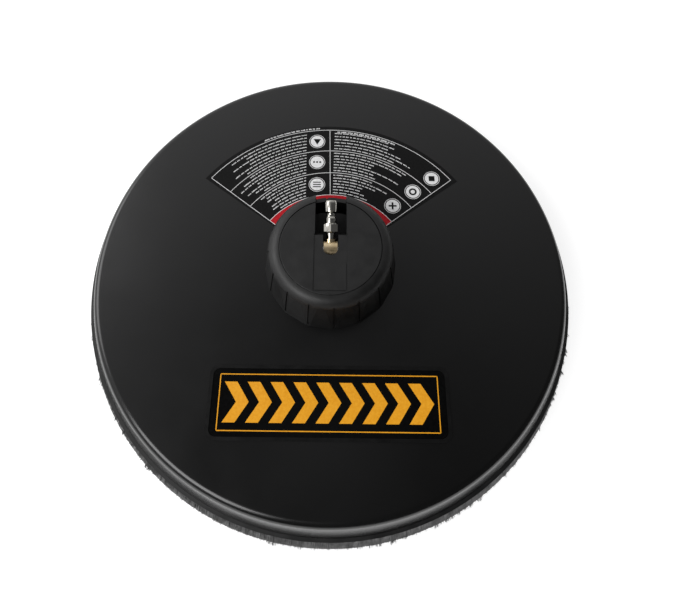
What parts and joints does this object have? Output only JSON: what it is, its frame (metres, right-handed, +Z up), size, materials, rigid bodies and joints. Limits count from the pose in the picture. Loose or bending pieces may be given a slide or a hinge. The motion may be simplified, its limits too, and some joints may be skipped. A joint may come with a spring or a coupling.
{
  "type": "pressure washer surface cleaner",
  "caption": "Round surface-cleaning head: flared black deck on a bristle skirt, ribbed swivel cover with a tilting quick-connect inlet, and a jet-driven rotor arm underneath.",
  "frame": {"origin": "on the floor under the rotor's axis, at the level of the bristle tips", "axes": "+Z up along the rotor's axis, +Y towards the operator (the side the inlet plug leans to), +X to the operator's left"},
  "size_m": [0.4939, 0.494, 0.1053],
  "materials": {
    "deck_paint": "gloss black paint",
    "holder_plastic": "moulded black",
    "bristle": "grey-black nylon",
    "cover_plastic": "fine moulded grain",
    "brass": "machined",
    "nickel": "nickel plated",
    "steel": "zinc plated",
    "stainless": "brushed",
    "bearing_steel": "ground",
    "rubber": "matt",
    "seal": "filled fluoropolymer",
    "label_print": "laminated print",
    "badge_print": "gloss with amber print"
  },
  "bodies": {
    "deck_frame": {"deck": "deck_paint", "brush_holder": "holder_plastic", "bristle_skirt": "bristle", "skirt_screws": "stainless", "swivel_cover": "cover_plastic", "cover_cap": "cover_plastic", "slot_liner": "holder_plastic", "cover_screws": "steel", "swivel_housing": "brass", "flange_gasket": "rubber", "backing_plate": "steel", "flange_bolts": "steel", "flange_washers": "steel", "flange_nuts": "steel", "pivot_pin": "stainless", "pin_bore_plug": "stainless", "pivot_nut": "stainless", "passage_screw": "brass", "upper_bearing_outer": "bearing_steel", "lower_bearing_outer": "bearing_steel", "outer_race_spacer": "stainless", "pressure_seal": "seal", "seal_backing_ring": "brass", "retaining_clip": "steel", "deck_label": "label_print", "badge_bezel": "holder_plastic", "badge_plate": "badge_print"},
    "inlet": {"pivot_eye": "brass", "pivot_orings": "rubber", "inlet_plug": "nickel"},
    "rotor": {"rotor_shaft": "stainless", "shaft_clip": "steel", "inner_race_spacer": "stainless", "upper_bearing_inner": "bearing_steel", "lower_bearing_inner": "bearing_steel", "rotor_hub": "brass", "spray_arm_left": "stainless", "spray_arm_right": "stainless", "arm_lock_nut_left": "stainless", "arm_lock_nut_right": "stainless", "nozzle_holder_left": "brass", "nozzle_holder_right": "brass", "nozzle_left": "stainless", "nozzle_right": "stainless"},
    "upper_cage": {"upper_bearing_cage": "brass", "upper_bearing_balls": "bearing_steel"},
    "lower_cage": {"lower_bearing_cage": "brass", "lower_bearing_balls": "bearing_steel"}
  },
  "joints": [
    {"name": "inlet_tilt", "type": "hinge", "parent": "deck_frame", "child": "inlet", "pos_m": [0, 0, 0.082], "axis": [1, 0, 0], "range_deg": [0, 65]},
    {"name": "rotor_spin", "type": "hinge", "parent": "deck_frame", "child": "rotor", "pos_m": [0, 0, 0.026], "axis": [0, 0, 1], "continuous": true},
    {"name": "upper_cage_spin", "type": "hinge", "parent": "deck_frame", "child": "upper_cage", "pos_m": [0, 0, 0.055], "axis": [0, 0, 1], "continuous": true},
    {"name": "lower_cage_spin", "type": "hinge", "parent": "deck_frame", "child": "lower_cage", "pos_m": [0, 0, 0.042], "axis": [0, 0, 1], "continuous": true}
  ],
  "couplings": [
    {"joint": "upper_cage_spin", "follows": "rotor_spin", "ratio": 0.381},
    {"joint": "lower_cage_spin", "follows": "rotor_spin", "ratio": 0.381}
  ]
}
